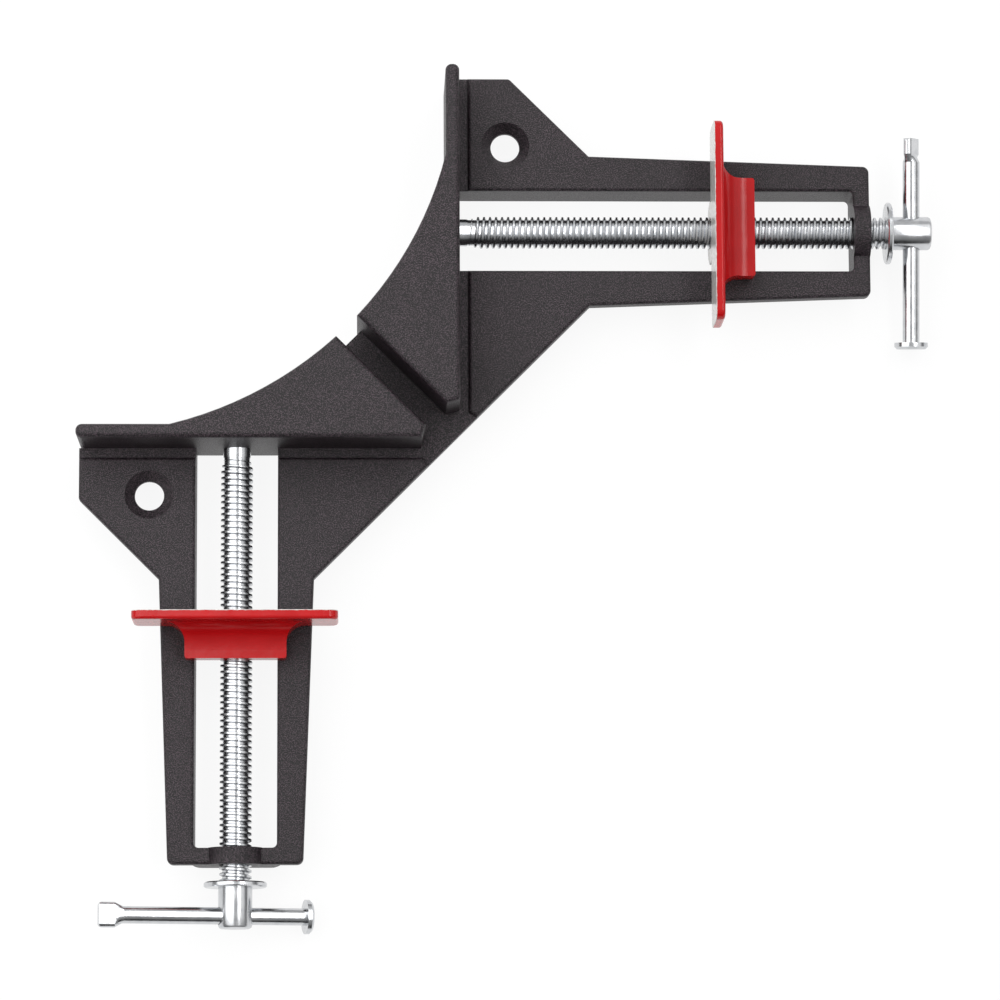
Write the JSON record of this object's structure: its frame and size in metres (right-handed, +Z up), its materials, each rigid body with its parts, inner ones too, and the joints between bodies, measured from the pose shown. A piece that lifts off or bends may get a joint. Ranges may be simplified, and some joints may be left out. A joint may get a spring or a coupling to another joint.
{
  "type": "corner clamp",
  "caption": "Cast right-angle corner clamp: a screw spindle on each arm draws a jaw towards its fence, to hold two workpieces square while they are joined.",
  "frame": {"origin": "on the mitre line at bench level, behind both fences by the same distance, on the rib under the mitre channel", "axes": "+Z up from the bench, +X along the right arm away from its fence, -Y along the left arm away from its fence"},
  "size_m": [0.2114, 0.2125, 0.0275],
  "materials": {
    "powder_coated_casting": "fine-texture charcoal powder coat on die-cast aluminium",
    "painted_jaw": "gloss red paint on a casting, press face bare",
    "zinc_plated_steel": "bright zinc plate",
    "spring_steel": "dark oiled spring steel"
  },
  "bodies": {
    "casting": {"body_casting": "powder_coated_casting"},
    "right_spindle": {"right_spindle": "zinc_plated_steel", "right_collar": "zinc_plated_steel", "right_thrust_washer": "zinc_plated_steel", "right_retaining_clip": "spring_steel"},
    "right_jaw": {"right_jaw": "painted_jaw"},
    "right_tommy_bar": {"right_tommy_bar": "zinc_plated_steel"},
    "left_spindle": {"left_spindle": "zinc_plated_steel", "left_collar": "zinc_plated_steel", "left_thrust_washer": "zinc_plated_steel", "left_retaining_clip": "spring_steel"},
    "left_jaw": {"left_jaw": "painted_jaw"},
    "left_tommy_bar": {"left_tommy_bar": "zinc_plated_steel"}
  },
  "joints": [
    {"name": "right_spindle_turn", "type": "hinge", "parent": "casting", "child": "right_spindle", "pos_m": [0.008, 0.04675, 0.009], "axis": [1, 0, 0], "range_deg": [-14952, 5880]},
    {"name": "right_jaw_slide", "type": "slide", "parent": "casting", "child": "right_jaw", "axis": [1, 0, 0], "range_m": [-0.06235, 0.02455]},
    {"name": "right_bar_slide", "type": "slide", "parent": "right_spindle", "child": "right_tommy_bar", "axis": [0, 0.9877, 0.1564], "range_m": [-0.01355, 0.02305]},
    {"name": "left_spindle_turn", "type": "hinge", "parent": "casting", "child": "left_spindle", "pos_m": [-0.04675, -0.008, 0.009], "axis": [0, -1, 0], "range_deg": [-9984, 10848]},
    {"name": "left_jaw_slide", "type": "slide", "parent": "casting", "child": "left_jaw", "axis": [0, -1, 0], "range_m": [-0.04165, 0.04525]},
    {"name": "left_bar_slide", "type": "slide", "parent": "left_spindle", "child": "left_tommy_bar", "axis": [-0.9703, 0, 0.2419], "range_m": [-0.0235, 0.0131]}
  ],
  "couplings": [
    {"joint": "right_jaw_slide", "follows": "right_spindle_turn", "m_per_rad": 0.00023873},
    {"joint": "left_jaw_slide", "follows": "left_spindle_turn", "m_per_rad": 0.00023873}
  ]
}
